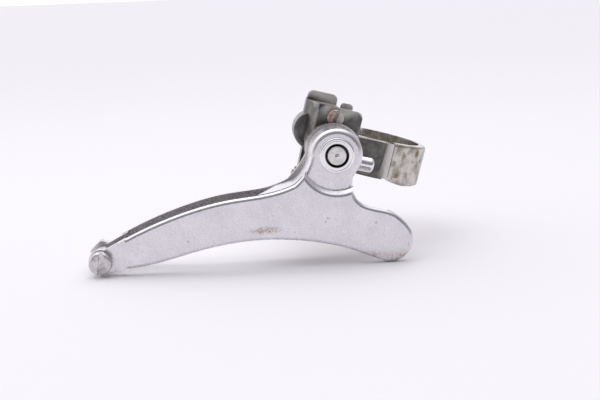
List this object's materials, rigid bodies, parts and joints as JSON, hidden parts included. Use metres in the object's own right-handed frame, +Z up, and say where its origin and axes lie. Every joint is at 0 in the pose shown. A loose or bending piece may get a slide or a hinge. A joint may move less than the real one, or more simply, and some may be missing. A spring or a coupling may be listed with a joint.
{
  "type": "front derailleur",
  "caption": "Clamp-on front derailleur: a curved two-plate chain cage slides on a post carried by a hinged seat-tube clamp, moved by a forked lever.",
  "frame": {"origin": "centre of the seat-tube clamp bore, at half its height", "axes": "+X along the cage towards its nose (forwards on the bicycle), +Y towards the bicycle (the outer cage plate faces -Y), +Z up; the clamp bore leans 15 degrees from +Z towards +X"},
  "size_m": [0.1147, 0.0739, 0.0527],
  "materials": {
    "cage_chrome": "satin plated",
    "sleeve_chrome": "turned, bright",
    "body_alloy": "oxidised casting",
    "band_nickel": "aged nickel",
    "steel": "plain steel",
    "rusty_steel": "rusted",
    "brass": "dull"
  },
  "bodies": {
    "mount_body": {"body_bracket": "body_alloy", "guide_post": "steel", "plug_screw": "sleeve_chrome", "limit_screw_spring": "steel", "lever_pivot_pin": "steel", "pivot_clip": "steel", "clamp_nut": "steel"},
    "cage": {"cage_outer_plate": "cage_chrome", "cage_inner_plate": "cage_chrome", "sliding_sleeve": "sleeve_chrome", "cage_spacer_tube": "brass", "stop_plate": "steel", "fork_collar": "steel", "tail_screw": "steel", "tail_spacer": "steel", "tail_nut": "steel"},
    "lever": {"operating_lever": "band_nickel", "lever_spring": "steel", "anchor_washer": "steel", "anchor_bolt": "steel"},
    "band": {"clamp_band": "band_nickel"},
    "bolt": {"clamp_bolt": "steel", "clamp_washer": "steel"},
    "high_screw": {"high_limit_screw": "rusty_steel"},
    "low_screw": {"low_limit_screw": "rusty_steel"}
  },
  "joints": [
    {"name": "cage_slide", "type": "slide", "parent": "mount_body", "child": "cage", "axis": [0, -1, 0], "range_m": [0, 0.008], "stiffness_N_per_m": 800, "springref_m": -0.005},
    {"name": "lever_pivot", "type": "hinge", "parent": "mount_body", "child": "lever", "pos_m": [-0.02068, -0.018, -0.00533], "axis": [0.9659, 0, -0.2588], "range_deg": [0, 38.5]},
    {"name": "band_hinge", "type": "hinge", "parent": "mount_body", "child": "band", "pos_m": [0.00126, -0.017, -0.00034], "axis": [-0.2588, 0, -0.9659], "range_deg": [0, 28]},
    {"name": "clamp_bolt_slide", "type": "slide", "parent": "mount_body", "child": "bolt", "axis": [0.9659, 0, -0.2588], "range_m": [0, 0.0221]},
    {"name": "high_screw_turn", "type": "hinge", "parent": "mount_body", "child": "high_screw", "pos_m": [-0.01626, -0.028, 0.01657], "axis": [0, 1, 0], "continuous": true},
    {"name": "low_screw_turn", "type": "hinge", "parent": "cage", "child": "low_screw", "pos_m": [-0.01134, -0.016, 0.01795], "axis": [0, 1, 0], "continuous": true}
  ],
  "couplings": [
    {"joint": "lever_pivot", "follows": "cage_slide", "rad_per_m": 83.512},
    {"joint": "clamp_bolt_slide", "follows": "band_hinge", "m_per_rad": 0.045018}
  ]
}
